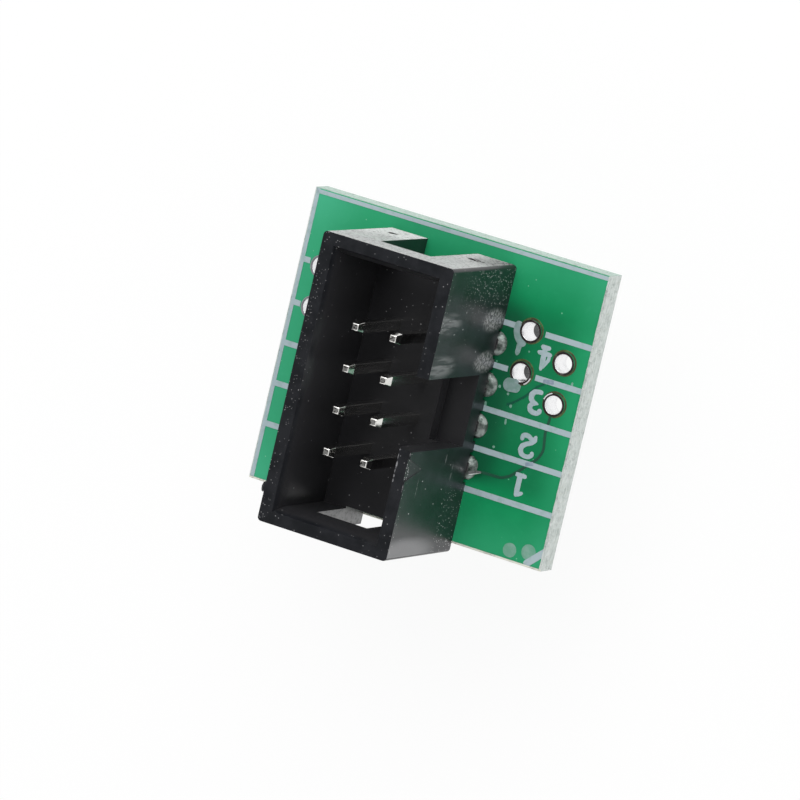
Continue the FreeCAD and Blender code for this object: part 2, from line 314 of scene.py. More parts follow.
def makeShroudSide():
    # The two long outer walls are glossy under dust, scratches and burrs, and the right one carries painted
    # reflections: pale patches where it mirrors the ink lines and spare holes beside it, and the pale floor
    # at its -Y end
    look = {"black": (0.009, 0.010, 0.013), "dull": (0.016, 0.018, 0.022), "dust": (0.55, 0.55, 0.555),
            "reflection": (0.340, 0.330, 0.335), "paintedLightAndScratch": (0.155, 0.155, 0.160), "burr": (0.50, 0.50, 0.50)}
    # Painted reflections low on the wall, mottled
    lowReflections = ((2.50, 11.55, 0.78, 1.65), (5.05, 11.55, 0.84, 1.75))
    # Painted reflections high on the wall, streaked
    paintedLights = ((2.40, 17.60, 0.82, 2.6), (5.00, 17.70, 0.80, 2.1))
    burrs = ((1.62, 18.05, 0.08, 0.65), (1.62, 16.70, 0.05, 0.40))
    # Painted reflection of the pale floor at the -Y end
    endReflection = ((-8.95, 16.60, 0.95, 4.20),)
    scratches = ((-4.20, 12.45, 0.85, 0.045), (-3.30, 13.60, 0.55, 0.045), (-5.00, 16.70, 0.60, 0.060))
    finish = Finish("shroudSide", look["black"], IOR=1.56)
    lumps = finish.noise(700.0, 3.0, 0.6)
    flow = finish.noise(1.0, 3.0, 0.6, (900.0, 1100.0, 300.0))
    patches = finish.step(finish.noise(330.0, 2.0), 0.44, 0.62)
    along = finish.axis("Y")
    height = finish.axis("Z")
    farLevel = finish.step(height, boardTop + 7.5 * mm, boardTop + 3.5 * mm)
    farEnd = finish.step(along, 5.0 * mm, 6.8 * mm) * farLevel
    nearLevel = finish.step(height, boardTop + 3.2 * mm, boardTop + 2.0 * mm)
    nearEnd = finish.step(along, -4.5 * mm, -6.5 * mm) * nearLevel
    edge = finish.step(height, shroudHigh.z - 0.55 * mm, shroudHigh.z - 0.25 * mm)
    specks = finish.dust(((0.20, 0.040, 0.16, patches), (0.50, 0.060, 0.07, 1.0), (0.14, 0.034, 0.34, farEnd),
                          (0.15, 0.034, 0.22, nearEnd), (0.30, 0.055, 0.26, farEnd),
                          (0.12, 0.040, 0.30, edge)))
    rightSide = finish.step(finish.axis("X"), -1.0 * mm, 1.0 * mm)
    mottle = finish.step(finish.noise(5200.0, 4.0, 0.7), 0.42, 0.60) * 0.85 + 0.12
    lowReflection = finish.ovals(along, height, lowReflections)
    marksAndPaintedLight = lowReflection * lowReflection * mottle
    brushed = finish.noise(1.0, 3.0, 0.6, (3400.0, 3400.0, 420.0))
    streaks = finish.step(brushed, 0.40, 0.62) * 0.90 + 0.10
    highReflection = finish.ovals(along, height, paintedLights)
    streakedReflection = highReflection * highReflection * streaks
    ragged = finish.step(finish.noise(3600.0, 3.0, 0.7), 0.44, 0.54)
    torn = finish.ovals(along, height, burrs) * ragged
    tone = finish.mix(finish.step(lumps, 0.35, 0.65), look["black"], look["dull"])
    # Painted reflections, real scratches and burrs are laid on in turn
    layers = ((finish.ovals(along, height, endReflection), "paintedLightAndScratch"), (streakedReflection, "paintedLightAndScratch"),
              (finish.ovals(along, height, scratches) * ragged, "paintedLightAndScratch"), (marksAndPaintedLight, "reflection"), (torn, "burr"))
    for share, shade in layers:
        tone = finish.mix(share * rightSide, tone, look[shade])
    tone = finish.mix(specks, tone, look["dust"])
    normal = finish.bump(lumps * 0.4 + flow, 0.010 * mm, 0.6)
    nearHalf = finish.step(along, -2.4 * mm, -3.4 * mm)
    rough = flow * 0.12 + nearHalf * 0.045 + 0.24
    return finish.feed(Base_Color=tone, Roughness=rough, Normal=normal)


def makePinMetal():
    look = {"tin": (0.82, 0.81, 0.78), "dull": (0.73, 0.72, 0.70), "cut": (0.06, 0.055, 0.05)}
    finish = Finish("tinnedWire", look["tin"], Metallic=1.0)
    drawn = finish.noise(1.0, 3.0, 0.6, (9000.0, 9000.0, 420.0))
    patch = finish.noise(1100.0, 3.0, 0.6)
    height = finish.axis("Z")
    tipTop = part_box("header_pin_1")[1][2]
    cut = finish.step(height, tipTop - 0.012 * mm, tipTop - 0.004 * mm)
    torn = finish.step(finish.noise(7500.0, 2.0), 0.52, 0.62)
    tone = finish.mix(finish.step(patch, 0.40, 0.70), look["tin"], look["dull"])
    tone = finish.mix(cut * torn, tone, look["cut"])
    rough = drawn * 0.08 + patch * 0.08 + 0.08
    return finish.feed(Base_Color=tone, Roughness=rough, Normal=finish.bump(drawn, 0.008 * mm, 0.6))


def makePatchy(name, base, other, scale, band=None, detail=3.0, grain=0.6, rough=(0.2, 0.4), relief=0.01,
               strength=1.0, **sockets):
    # Soft patches mix two tones, and roughen and lift the surface a little. The band is the stretch of the
    # noise over which the base turns into the other tone.
    finish = Finish(name, base, **sockets)
    patch = finish.noise(scale, detail, grain)
    tone = finish.mix(finish.step(patch, *band) if band else patch, base, other)
    swing, least = rough
    normal = finish.bump(patch, relief * mm, strength)
    return finish.feed(Base_Color=tone, Roughness=patch * swing + least, Normal=normal)


def makeFloorFinish():
    # Camera, glossy and transmission rays see a nearly white floor, which still keeps the shadow
    look = {"white": 1.0, "share": 0.90}
    finish = Finish("paleFloor", (0.93, 0.93, 0.93), Roughness=0.9)
    rays = finish.node("ShaderNodeLightPath", output="Is Camera Ray")
    seen = rays.math("MAXIMUM", rays.sibling("Is Glossy Ray"))
    seen = seen.math("MAXIMUM", rays.sibling("Is Transmission Ray"))
    glow = finish.node("ShaderNodeEmission", None, {"Color": (1.0, 1.0, 1.0, 1.0), "Strength": look["white"]})
    finish.blend(seen * look["share"], glow)
    return finish.material


# What each family of patchy finishes shares
trackLook = {"scale": 900.0, "grain": 0.5, "rough": (0.1, 0.3), "IOR": 1.5, "Specular_IOR_Level": 0.3}
inkLook = {"IOR": 1.45, "Specular_IOR_Level": 0.3}
thinInkLook = {"band": (0.65, 0.35), "relief": 0.006, **inkLook}
solderLook = {"band": (0.42, 0.60), "detail": 4.0, "relief": 0.02, "strength": 0.8, "Metallic": 1.0}
lipLook = {"scale": 2600.0, "band": (0.52, 0.78), "rough": (0.25, 0.28), "relief": 0.012}

finishes = {
    "laminate": makeLaminate(),
    "solder_mask": makeMask(),
    "header_plastic": makeShroudPlastic(),
    "shroud_side": makeShroudSide(),
    "shroud_end": makeShroudEnd(),
    "pin_metal": makePinMetal(),
    "strip_plastic": makePatchy("stripPlastic", (0.020, 0.020, 0.021), (0.048, 0.048, 0.050), 4200.0,
                                rough=(0.15, 0.42), relief=0.012, IOR=1.5),
    "solder": makePatchy("solder", (0.72, 0.73, 0.73), (0.38, 0.40, 0.39), 1700.0, rough=(0.20, 0.24),
                         **solderLook),
    # Painted shade and a painted reflection of the green lacquer: a darker, greener copy of the solder for
    # the front joints beside the wall
    "shaded_solder": makePatchy("dullSolder", (0.27, 0.30, 0.285), (0.065, 0.085, 0.075), 1250.0,
                              rough=(0.20, 0.36), **solderLook),
    "hole_plating": makePatchy("barrelTin", (0.93, 0.93, 0.94), (0.70, 0.70, 0.71), 1900.0, (0.55, 0.80), 4.0,
                               rough=(0.25, 0.15), relief=0.015, Metallic=1.0),
    "screen_ink": makePatchy("screenInk", (0.395, 0.490, 0.525), (0.330, 0.450, 0.455), 1700.0, (0.50, 0.34),
                             4.0, rough=(0.2, 0.5), **inkLook),
    "faint_ink": makePatchy("faintInk", (0.275, 0.370, 0.375), (0.190, 0.310, 0.275), 2200.0, **thinInkLook),
    "ink_veil": makePatchy("inkVeil", (0.215, 0.385, 0.310), (0.140, 0.345, 0.245), 1500.0, **thinInkLook),
    "ink_smear": makePatchy("inkSmear", (0.320, 0.385, 0.445), (0.225, 0.280, 0.360), 2600.0, **thinInkLook),
    "track": makePatchy("maskOverTrack", (0.016, 0.070, 0.044), (0.020, 0.105, 0.060), **trackLook),
    "faint_track": makePatchy("maskOverDeepTrack", (0.006, 0.085, 0.050), (0.006, 0.120, 0.064), **trackLook),
    "pad_mask": makePatchy("maskOverPad", (0.085, 0.150, 0.048), (0.060, 0.058, 0.028), 2400.0, (0.65, 0.40),
                           rough=(0.15, 0.25), IOR=1.5),
    "lip": makePatchy("tarnishedLip", (0.050, 0.040, 0.039), (0.18, 0.165, 0.16), Metallic=0.7, **lipLook),
    "bright_lip": makePatchy("tinnedLip", (0.30, 0.31, 0.33), (0.55, 0.56, 0.58), Metallic=0.7, **lipLook),
    # Painted highlight for two of the lips
    "glint": makePatchy("polishedLip", (0.80, 0.80, 0.82), (0.92, 0.92, 0.94), Metallic=0.2, **lipLook),
}
print("materials made")


# Camera at the photograph's angle

cameraFit = {
    "lens": 309.6,
    "turns": (10.28, -24.637, -17.586),
    "slide": (1.13, 0.634),
    "distance": 409.925,
}


def makeCamera():
    camera = bpy.data.cameras.new("photoCamera")
    camera.sensor_width = 36.0
    camera.sensor_fit = "HORIZONTAL"
    camera.lens = cameraFit["lens"]
    camera.clip_start = 0.01
    camera.clip_end = 10.0
    rig = addObject("photoCamera", camera)
    turnX, turnY, turnZ = (math.radians(turn) for turn in cameraFit["turns"])
    spin = Matrix.Rotation(-turnX, 4, "X") @ Matrix.Rotation(-turnY, 4, "Y") @ Matrix.Rotation(-turnZ, 4, "Z")
    slideX, slideY = cameraFit["slide"]
    offset = Matrix.Translation(Vector((-slideX, -slideY, cameraFit["distance"])) * mm)
    foot = Vector((shroudMiddle.x, shroudMiddle.y, boardTop))
    rig.matrix_world = Matrix.Translation(foot) @ spin @ offset
    bpy.context.scene.camera = rig


makeCamera()


# Studio: pale floor, one soft lamp, a sky that is dimmer overhead

studio = {
    "floorHalf": 3.0,
    "skyLow": 1.25,
    "skyHigh": 0.22,
    "skyTurn": (0.50, 0.86),
    "lampPlace": (0.03, 0.32, 0.34),
    "lampSize": 0.40,
    "lampPower": 1.45,
}


def makeFloor():
    mesh = bpy.data.meshes.new("paleFloor")
    half = studio["floorHalf"]
    corners = [(-half, -half, 0), (half, -half, 0), (half, half, 0), (-half, half, 0)]
    mesh.from_pydata(corners, [], [(0, 1, 2, 3)])
    mesh.materials.append(makeFloorFinish())
    addObject("paleFloor", mesh)


def makeLamp():
    lamp = bpy.data.lights.new("keyLamp", "AREA")
    lamp.shape = "SQUARE"
    lamp.size = studio["lampSize"]
    lamp.energy = studio["lampPower"]
    rig = addObject("keyLamp", lamp)
    rig.location = studio["lampPlace"]
    rig.rotation_euler = (-Vector(studio["lampPlace"])).to_track_quat("-Z", "Y").to_euler()


def makeWorld():
    world = bpy.data.worlds.new("evenSky")
    bpy.context.scene.world = world
    world.use_nodes = True
    build = Builder(world.node_tree)
    direction = build.node("ShaderNodeTexCoord", output="Generated")
    height = build.node("ShaderNodeSeparateXYZ", None, [direction], "Z")
    fade = build.node("ShaderNodeMapRange", {"interpolation_type": "SMOOTHSTEP"},
                      [height, *studio["skyTurn"], studio["skyLow"], studio["skyHigh"]])
    background = build.tree.nodes["Background"]
    background.inputs["Color"].default_value = (1.0, 1.0, 1.0, 1.0)
    build.tree.links.new(fade.socket, background.inputs["Strength"])


makeFloor()
makeWorld()
makeLamp()
bpy.context.scene.view_settings.view_transform = "Standard"
print("camera and studio set")


# Geometry node helpers

def newTree(name, *sizes):
    tree = bpy.data.node_groups.new(name, "GeometryNodeTree")
    tree.interface.new_socket("Geometry", in_out="INPUT", socket_type="NodeSocketGeometry")
    for label in sizes:
        tree.interface.new_socket(label, in_out="INPUT", socket_type="NodeSocketFloat")
    tree.interface.new_socket("Material", in_out="INPUT", socket_type="NodeSocketMaterial")
    tree.interface.new_socket("Geometry", in_out="OUTPUT", socket_type="NodeSocketGeometry")
    build = Builder(tree)
    given = tree.nodes.new("NodeGroupInput").outputs
    return build, {label: Value(build, given[label]) for label in ("Geometry", *sizes, "Material")}


def roundedSection(build, width, height, edge):
    section = build.node("GeometryNodeCurvePrimitiveQuadrilateral", {"mode": "RECTANGLE"},
                         {"Width": width, "Height": height})
    return build.node("GeometryNodeFilletCurve", {"mode": "POLY"},
                      {"Curve": section, "Radius": edge, "Count": 3})


def closeTree(build, geometry, material):
    realized = build.node("GeometryNodeRealizeInstances", None, {"Geometry": geometry})
    painted = build.node("GeometryNodeSetMaterial", None, {"Geometry": realized, "Material": material})
    addNode(build.tree, "NodeGroupOutput", None, {0: painted.socket})
    return build.tree


def bake(source, tree, finish, **sizes):
    # Runs a tree on an object and keeps the result as a plain mesh object of the same name
    name = source.name
    values = {"Material": finishes[finish], **sizes}
    modifier = source.modifiers.new("build", "NODES")
    modifier.node_group = tree
    for item in tree.interface.items_tree:
        if item.in_out == "INPUT" and item.name in values:
            modifier[item.identifier] = values[item.name]
    graph = bpy.context.evaluated_depsgraph_get()
    mesh = bpy.data.meshes.new_from_object(source.evaluated_get(graph))
    bpy.data.objects.remove(source)
    return meshPiece(name, mesh)


# Edges that turn by more degrees than this are shown sharp
smoothTurn = 35.0


def meshPiece(name, mesh, sharpFrom=smoothTurn):
    mesh.name = name
    mesh.shade_smooth()
    mesh.set_sharp_from_angle(angle=math.radians(sharpFrom))
    return addObject(name, mesh)


def keep(piece, slot, *nodes):
    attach(piece, "root")
    if nodes:
        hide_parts(*nodes)
    return piece


def spotMesh(name, spots):
    mesh = bpy.data.meshes.new(name)
    mesh.from_pydata([tuple(spot) for spot in spots], [], [])
    return addObject(name, mesh)


def workPiece(name, work, slot, sharpFrom):
    # A piece from a bmesh, in its slot's own finish
    mesh = bpy.data.meshes.new(name)
    work.to_mesh(mesh)
    work.free()
    mesh.materials.append(finishes[slot])
    return keep(meshPiece(name, mesh, sharpFrom), slot)


def polyCurve(name, lines):
    # Straight runs between points, each given by its place in metres and its radius
    curve = bpy.data.curves.new(name, "CURVE")
    curve.dimensions = "3D"
    for line in lines:
        spline = curve.splines.new("POLY")
        spline.points.add(len(line) - 1)
        for point, (x, y, z, radius) in zip(spline.points, line):
            point.co = (x, y, z, 1.0)
            point.radius = radius
    return addObject(name, curve)


def numbered(kind):
    # The names of the eight nodes of one kind
    return ["%s_%d" % (kind, number) for number in range(1, 9)]


# Dress the CAD nodes that stay

for entry in frame["record"]["subparts"]:
    node = frame["nodes"][entry["node"]]
    for materialSlot in node.material_slots:
        materialSlot.material = finishes[entry["material_slot"]]
print("CAD nodes dressed")


# Moulded plastic: copies of the CAD solids with softened edges

# Lengths are in millimetres and turns in degrees. The holes for the pins and the pin 1 mark stay sharp.
moulded = {
    "edge": 0.045,
    "edgeSteps": 2,
    "sharpTurn": 30.0,
    "flatTurn": 1.0,
    "weld": 0.001,
    "aboveBoard": 1.0,
    "pinHoleSide": 0.7,
    "pinHoleTop": 3.0,
    "facing": 0.95,
    "wallDepth": 0.12,
    "slotDepth": 1.2,
    "slotHalf": 2.9,
}
pinMark = {"wallDepth": 0.2, "fromMiddle": 2.4, "lean": 0.01, "deepest": 0.15, "shallowest": 0.02}


def flatShaded(piece):
    # Large faces keep their own direction and only the narrow softened edges are shaded round
    modifier = piece.modifiers.new("normals", "WEIGHTED_NORMAL")
    modifier.keep_sharp = True
    modifier.weight = 100
    graph = bpy.context.evaluated_depsgraph_get()
    mesh = bpy.data.meshes.new_from_object(piece.evaluated_get(graph))
    piece.modifiers.remove(modifier)
    piece.data = mesh
    return piece


def mouldedCopy(node, name, slot, fromLevel, leaveAlone):
    mesh = frame["nodes"][node].data.copy()
    work = bmesh.new()
    work.from_mesh(mesh)
    bmesh.ops.remove_doubles(work, verts=work.verts, dist=moulded["weld"] * mm)
    bmesh.ops.dissolve_limit(work, angle_limit=math.radians(moulded["flatTurn"]),
                              verts=work.verts, edges=work.edges)
    softened = []
    for edge in work.edges:
        ends = [vertex.co for vertex in edge.verts]
        turns = len(edge.link_faces) == 2 and edge.calc_face_angle() > math.radians(moulded["sharpTurn"])
        if turns and min(end.z for end in ends) > fromLevel and not leaveAlone(ends):
            softened.append(edge)
    bmesh.ops.bevel(work, geom=softened, offset=moulded["edge"] * mm, segments=moulded["edgeSteps"],
                    affect="EDGES", profile=0.5, clamp_overlap=True)
    work.to_mesh(mesh)
    work.free()
    print(name, "softened", len(softened), "edges")
    return keep(flatShaded(meshPiece(name, mesh)), slot, node)


def paintWalls(piece, axis, finish):
    # The two outer walls across one axis take a finish of their own
    piece.data.materials.append(finishes[finish])
    walls = (shroudLow[axis], shroudHigh[axis])
    for face in piece.data.polygons:
        outside = min(abs(face.center[axis] - wall) for wall in walls) < moulded["wallDepth"] * mm
        if abs(face.normal[axis]) > moulded["facing"] and outside:
            face.material_index = len(piece.data.materials) - 1


def roundPin(ends):
    # The edges of the square holes that the pins fill
    return (ends[0] - ends[1]).length < moulded["pinHoleSide"] * mm


def roundMarkOrPin(ends):
    # The pin 1 triangle is too shallow to soften, and so are the holes that the pins fill
    wall = shroudHigh.x
    across = shroudMiddle.y - pinMark["fromMiddle"] * mm
    lean = pinMark["lean"] * mm
    atWall = all(end.x > wall - pinMark["wallDepth"] * mm and end.y < across for end in ends)
    leaning = abs(ends[0].z - ends[1].z) > lean and abs(ends[0].y - ends[1].y) > lean
    sunk = any(pinMark["shallowest"] * mm < wall - end.x < pinMark["deepest"] * mm for end in ends)
    low = max(end.z for end in ends) < boardTop + moulded["pinHoleTop"] * mm
    return atWall and (leaning or sunk) or roundPin(ends) and low


def paintSlot(piece, end, finish):
    # The side faces of the slot in one end wall
    piece.data.materials.append(finishes[finish])
    for face in piece.data.polygons:
        inWall = abs(face.center.y - end) < moulded["slotDepth"] * mm
        inSlot = abs(face.center.x - shroudMiddle.x) < moulded["slotHalf"] * mm
        if abs(face.normal.x) > moulded["facing"] and inWall and inSlot:
            face.material_index = len(piece.data.materials) - 1


shroud = mouldedCopy("header_housing", "shroud", "header_plastic", boardTop + moulded["aboveBoard"] * mm,
                     roundMarkOrPin)
paintWalls(shroud, 0, "shroud_side")
paintWalls(shroud, 1, "shroud_end")
paintSlot(shroud, shroudLow.y, "shroud_end")
paintSlot(shroud, shroudHigh.y, "shroud_side")
for side in ("left", "right"):
    mouldedCopy("pin_strip_" + side, "strip_" + side, "strip_plastic", 0.0, roundPin)

gateNub = {"place": (-4.82, -7.36, 18.42), "size": (0.16, 0.30, 0.10), "lumps": 0.25, "lumpScale": 1.6,
           "sharpFrom": 180.0}


def makeGateNub():
    # Torn stub where the plastic entered the mould
    work = bmesh.new()
    bmesh.ops.create_icosphere(work, subdivisions=4, radius=1.0)
    for vertex in work.verts:
        swell = 1 + gateNub["lumps"] * noise.noise(vertex.co * gateNub["lumpScale"])
        spot = [place + size * swell * offset for place, size, offset
                in zip(gateNub["place"], gateNub["size"], vertex.co)]
        vertex.co = Vector(spot) * mm
    workPiece("gateNub", work, "header_plastic", gateNub["sharpFrom"])


makeGateNub()
print("plastic moulded")


# Square pins with rounded edges and tapered tips

pinShape = {"side": 0.64, "edge": 0.05, "tip": 0.40, "end": 0.30, "taper": 0.56, "blunt": 0.04, "flat": 0.001}


def makePinTree():
    build, given = newTree("pins", "Side", "Edge")
    section = roundedSection(build, given["Side"], given["Side"], given["Edge"])
    wire = build.node("GeometryNodeCurveToMesh", None,
                      {"Curve": given["Geometry"], "Profile Curve": section,
                       "Scale": build.node("GeometryNodeInputRadius"), "Fill Caps": True})
    return closeTree(build, wire, given["Material"])


def pinCurve(name, nodes, taperedTop):
    # The radius at each point scales the pin's section there
    tip = pinShape["tip"] / pinShape["side"]
    end = pinShape["end"] / pinShape["side"]
    taper = pinShape["taper"] * mm
    blunt = pinShape["blunt"] * mm
    lines = []
    for node in nodes:
        middle = nodeMiddle(node)
        low, high = (corner[2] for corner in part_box(node))
        levels = [(low, end), (low + blunt, tip), (low + taper, 1.0)]
        levels += [(high - taper, 1.0), (high - blunt, tip), (high, end)] if taperedTop else [(high, 1.0)]
        lines.append([(middle.x, middle.y, level, radius) for level, radius in levels])
    return polyCurve(name, lines)


pinTree = makePinTree()
for kind, tapered in (("header_pin", True), ("board_pin", False)):
    nodes = numbered(kind)
    wires = bake(pinCurve(kind.replace("_", "") + "s", nodes, tapered), pinTree, "pin_metal",
                 Side=pinShape["side"] * mm, Edge=pinShape["edge"] * mm)
    for edge in wires.data.edges:
        start, end = (wires.data.vertices[index].co for index in edge.vertices)
        if abs(start.z - end.z) < pinShape["flat"] * mm:
            edge.use_edge_sharp = True
    keep(wires, "pin_metal", *nodes)
print("pins drawn")


# Solder: turned forms, each swollen by noise where it stands

solderShape = {
    # The front joints take the darker, greener solder as painted shade and painted reflection
    "front": {"finish": "shaded_solder", "foot": 0.78, "height": 0.37, "lumps": 0.07, "grain": 1300.0,
              "flank": ((0.0, 1.0), (0.22, 0.94), (0.45, 0.84), (0.68, 0.70), (0.85, 0.52), (0.96, 0.28),
                        (1.0, 0.04))},
    "back": {"finish": "solder", "foot": 0.80, "height": 0.86, "lumps": 0.05, "grain": 1300.0,
             "flank": ((0.0, 1.0), (0.12, 0.90), (0.3, 0.76), (0.55, 0.64), (0.8, 0.57), (0.94, 0.50),
                       (1.0, 0.42))},
    "steps": 18,
    "sides": 40,
    "sunk": 0.01,
}


def makeTurnedTree(name, flank):
    build, given = newTree(name, "Foot", "Height", "Lumps", "Grain")
    top = build.node("ShaderNodeCombineXYZ", None, {"Z": given["Height"]})
    axle = build.node("GeometryNodeCurvePrimitiveLine", None, {"End": top})
    stepped = build.node("GeometryNodeResampleCurve", {"mode": "COUNT"},
                         {"Curve": axle, "Count": solderShape["steps"]})
    along = build.node("GeometryNodeSplineParameter", output="Factor")
    shape = build.node("ShaderNodeFloatCurve", None, {"Value": along})
    mapping = shape.socket.node.mapping
    line = mapping.curves[0]
    for place, value in flank[1:-1]:
        line.points.new(place, value)
    line.points[0].location = flank[0]
    line.points[-1].location = flank[-1]
    mapping.update()
    section = build.node("GeometryNodeCurvePrimitiveCircle", None,
                         {"Resolution": solderShape["sides"], "Radius": given["Foot"]})
    turned = build.node("GeometryNodeCurveToMesh", None,
                        {"Curve": stepped, "Profile Curve": section, "Scale": shape, "Fill Caps": True})
    copies = build.node("GeometryNodeInstanceOnPoints", None,
                        {"Points": given["Geometry"], "Instance": turned})
    real = build.node("GeometryNodeRealizeInstances", None, {"Geometry": copies})
    spot = build.node("GeometryNodeInputPosition")
    cloud = build.node("ShaderNodeTexNoise", None, {"Vector": spot, "Scale": given["Grain"]})
    # The noise strays about a quarter from its middle, so four times that is one full lump
    reach = (cloud - 0.5) * given["Lumps"] * given["Foot"] * 4.0
    outward = build.node("GeometryNodeInputNormal")
    push = build.node("ShaderNodeVectorMath", {"operation": "SCALE"}, {"Vector": outward, "Scale": reach})
    moved = build.node("GeometryNodeSetPosition", None, {"Geometry": real, "Offset": push})
    return closeTree(build, moved, given["Material"])


def solderPiece(name, face, nodes, level):
    # The back joints are turned over after they are made, so they are drawn mirrored about the board's back
    shape = solderShape[face]
    tree = makeTurnedTree(name + "Turned", shape["flank"])
    spots = [Vector((nodeMiddle(node).x, nodeMiddle(node).y, level)) for node in nodes]
    piece = bake(spotMesh(name, spots), tree, shape["finish"], Foot=shape["foot"] * mm,
                 Height=shape["height"] * mm, Lumps=shape["lumps"], Grain=shape["grain"])
    if face == "back":
        for vertex in piece.data.vertices:
            vertex.co.z = 2 * level - vertex.co.z
        piece.data.flip_normals()
    return keep(piece, "solder", *nodes)


sunk = solderShape["sunk"] * mm
solderPiece("frontSolder", "front", numbered("board_joint"), boardTop - sunk)
solderPiece("backSolder", "back", numbered("header_joint"), boardBack + sunk)

solderSpike = {"start": (4.24, -4.36, 10.36), "end": (4.99, -4.08, 10.41), "radius": 0.15, "tip": 0.075,
               "sides": 24, "sharpFrom": 60.0}


def makeSolderSpike():
    # Frozen tail where the iron left the first joint
    start, end = Vector(solderSpike["start"]), Vector(solderSpike["end"])
    work = bmesh.new()
    bmesh.ops.create_cone(work, cap_ends=True, segments=solderSpike["sides"], radius1=solderSpike["radius"],
                          radius2=solderSpike["tip"], depth=(end - start).length)
    turn = (end - start).to_track_quat("Z", "Y").to_matrix().to_4x4()
    bmesh.ops.transform(work, matrix=Matrix.Scale(mm, 4) @ Matrix.Translation((start + end) / 2) @ turn,
                        verts=work.verts)
    workPiece("solderSpike", work, "solder", solderSpike["sharpFrom"])


makeSolderSpike()
print("solder joints made")


# Plated spare holes: a barrel, a tarnished lip at each face and the pad under the lacquer

holeShape = {
    "barrel": {"radius": 0.575, "width": 0.05, "height": (boardTop - boardBack) / mm, "edge": 0.015},
    "lip": {"radius": 0.635, "width": 0.13, "height": 0.045, "edge": 0.018},
    "pad": {"radius": 0.735, "width": 0.12, "height": 0.03, "edge": 0.012},
    "padSlide": (0.06, 0.05),
    "sides": 56,
}


def makeRingTree():
    build, given = newTree("rings", "Radius", "Width", "Height", "Edge")
    circle = build.node("GeometryNodeCurvePrimitiveCircle", None,
                        {"Resolution": holeShape["sides"], "Radius": given["Radius"]})
    level = build.node("GeometryNodeSetCurveNormal", {"mode": "Z_UP"}, {"Curve": circle})
    section = roundedSection(build, given["Width"], given["Height"], given["Edge"])
    ring = build.node("GeometryNodeCurveToMesh", None, {"Curve": level, "Profile Curve": section})
    copies = build.node("GeometryNodeInstanceOnPoints", None,
                        {"Points": given["Geometry"], "Instance": ring})
    return closeTree(build, copies, given["Material"])


ringTree = makeRingTree()
holeNodes = numbered("spare_hole")
holeSpots = [nodeMiddle(node) for node in holeNodes]


def atLevels(spots, levels, slide=(0.0, 0.0)):
    return [Vector((spot.x + slide[0] * mm, spot.y + slide[1] * mm, level)) for spot in spots
            for level in levels]


def ringPiece(name, kind, spots, slot, finish):
    sizes = {label.title(): holeShape[kind][label] * mm for label in ("radius", "width", "height", "edge")}
    return keep(bake(spotMesh(name, spots), ringTree, finish, **sizes), slot)


barrels = ringPiece("holeBarrels", "barrel", atLevels(holeSpots, [(boardTop + boardBack) / 2]),
                    "hole_plating", "hole_plating")
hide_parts(*holeNodes)
faces = [boardTop, boardBack]
rightSpots = [spot for spot in holeSpots if spot.x > 0]
leftSpots = [spot for spot in holeSpots if spot.x < 0]
ringPiece("holeLipsRight", "lip", atLevels(rightSpots, faces), "hole_plating", "lip")
ringPiece("holeLipsLeft", "lip", atLevels(leftSpots, faces), "hole_plating", "bright_lip")
ringPiece("holePads", "pad", atLevels(rightSpots, faces, holeShape["padSlide"]), "solder_mask", "pad_mask")
print("spare holes plated")


# Printed ink and covered tracks: strokes that follow drawn paths

strokeShape = {"sampling": 0.04, "cornerSteps": 5, "leastCap": 0.12, "rise": 0.0009}


def makeStrokeTree():
    build, given = newTree("strokes", "Width", "Height", "Corner", "Wobble", "Grain", "Round")
    curve = build.node("GeometryNodeFilletCurve", {"mode": "POLY"},
                       {"Curve": given["Geometry"], "Radius": given["Corner"],
                        "Count": strokeShape["cornerSteps"], "Limit Radius": True})
    curve = build.node("GeometryNodeResampleCurve", {"mode": "LENGTH"},
                       {"Curve": curve, "Length": strokeShape["sampling"] * mm})
    along = build.node("GeometryNodeSplineParameter", output="Length")
    total = build.node("GeometryNodeSplineLength", output="Length")
    nearest = (total - along).math("MINIMUM", along)
    remaining = 1.0 - nearest.math("DIVIDE", given["Width"] * 0.5).math("MINIMUM", 1.0)
    arc = (1.0 - remaining * remaining).math("SQRT")
    cap = (1.0 - (1.0 - arc) * given["Round"]).math("MAXIMUM", strokeShape["leastCap"])
    spot = build.node("GeometryNodeInputPosition")
    cloud = build.node("ShaderNodeTexNoise", None, {"Vector": spot, "Scale": given["Grain"]})
    swell = (cloud - 0.5) * given["Wobble"] * 2.0 + 1.0
    scale = cap * swell * build.node("GeometryNodeInputRadius")
    level = build.node("GeometryNodeSetCurveNormal", {"mode": "Z_UP"}, {"Curve": curve})
    profile = build.node("GeometryNodeCurvePrimitiveQuadrilateral", {"mode": "RECTANGLE"},
                         {"Width": given["Width"], "Height": given["Height"]})
    ribbon = build.node("GeometryNodeCurveToMesh", None,
                        {"Curve": level, "Profile Curve": profile, "Scale": scale, "Fill Caps": True})
    return closeTree(build, ribbon, given["Material"])


strokeTree = makeStrokeTree()


def strokePiece(name, paths, slot, finish, width, height, corner=0.1, wobble=0.08, grain=3000.0,
                rounding=0.0):
    # Each later path lies a hair higher, so that crossing strokes never share a face.
    # A point is its X and Y and, where the stroke swells or narrows, its share of the width.
    lines = []
    for index, path in enumerate(paths):
        level = boardTop + index * strokeShape["rise"] * mm
        lines.append([(x * mm, y * mm, level, share[0] if share else 1.0) for x, y, *share in path])
    strokes = bake(polyCurve(name, lines), strokeTree, finish, Width=width * mm, Height=height * mm,
                   Corner=corner * mm, Wobble=wobble, Grain=grain, Round=rounding)
    return keep(strokes, slot)


